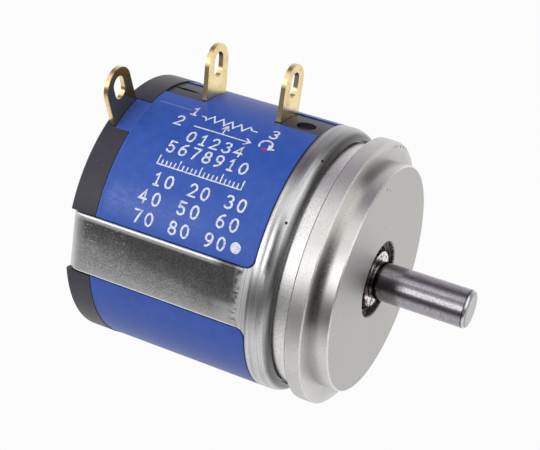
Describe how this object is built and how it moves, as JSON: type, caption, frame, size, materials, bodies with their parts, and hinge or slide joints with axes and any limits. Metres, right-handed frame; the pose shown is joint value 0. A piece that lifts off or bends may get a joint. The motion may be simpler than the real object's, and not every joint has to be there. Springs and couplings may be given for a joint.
{
  "type": "rotary potentiometer",
  "caption": "Multi-turn wirewound rotary potentiometer with servo mount, ball bearings and solder terminals.",
  "frame": {"origin": "centre of the flange's front mounting face, on the shaft axis", "axes": "+X along the shaft towards its free end, +Z towards the two solder terminals that are in line"},
  "size_m": [0.0305, 0.0224, 0.0267],
  "materials": {
    "plate_metal": "turned and passivated, satin",
    "bearing_steel": "ground",
    "cage_brass": "stamped",
    "shaft_steel": "ground stainless steel",
    "clip_steel": "plain",
    "strap_steel": "matt, scuffed",
    "black_moulding": "moulded, semi-matt",
    "blue_label": "printed film, semi-gloss",
    "gold_plate": "gold plated",
    "winding": "wire wound",
    "rotor_moulding": "moulded",
    "contact_alloy": "spring alloy"
  },
  "bodies": {
    "case": {"mounting_flange": "plate_metal", "front_outer_race": "bearing_steel", "strap_clip": "strap_steel", "housing": "black_moulding", "label": "blue_label", "rear_cover": "black_moulding", "terminal_1": "gold_plate", "terminal_2": "gold_plate", "terminal_3": "gold_plate", "resistance_element": "winding", "collector_brush": "contact_alloy", "rear_outer_race": "bearing_steel"},
    "rotor": {"shaft": "shaft_steel", "front_inner_race": "bearing_steel", "clip_shim": "clip_steel", "shaft_clip": "clip_steel", "front_spacer": "clip_steel", "rotor_hub": "rotor_moulding", "collector_rod": "contact_alloy", "slip_ring": "contact_alloy", "rear_spacer": "clip_steel", "rear_inner_race": "bearing_steel"},
    "carriage": {"contact_carriage": "rotor_moulding", "wiper_contact": "contact_alloy"},
    "front_ball_set": {"front_balls": "bearing_steel", "front_cage": "cage_brass"},
    "rear_ball_set": {"rear_balls": "bearing_steel", "rear_cage": "cage_brass"}
  },
  "joints": [
    {"name": "shaft_turn", "type": "hinge", "parent": "case", "child": "rotor", "pos_m": [0, 0, 0], "axis": [-1, 0, 0], "range_deg": [-1800, 1800]},
    {"name": "carriage_travel", "type": "slide", "parent": "rotor", "child": "carriage", "axis": [1, 0, 0], "range_m": [-0.00336, 0.00336]},
    {"name": "front_ball_orbit", "type": "hinge", "parent": "case", "child": "front_ball_set", "pos_m": [0, 0, 0], "axis": [-1, 0, 0], "range_deg": [-800, 800]},
    {"name": "rear_ball_orbit", "type": "hinge", "parent": "case", "child": "rear_ball_set", "pos_m": [-0.02, 0, 0], "axis": [-1, 0, 0], "range_deg": [-800, 800]}
  ],
  "couplings": [
    {"joint": "carriage_travel", "follows": "shaft_turn", "m_per_rad": 0.00010663},
    {"joint": "front_ball_orbit", "follows": "shaft_turn", "ratio": 0.42},
    {"joint": "rear_ball_orbit", "follows": "shaft_turn", "ratio": 0.42}
  ]
}
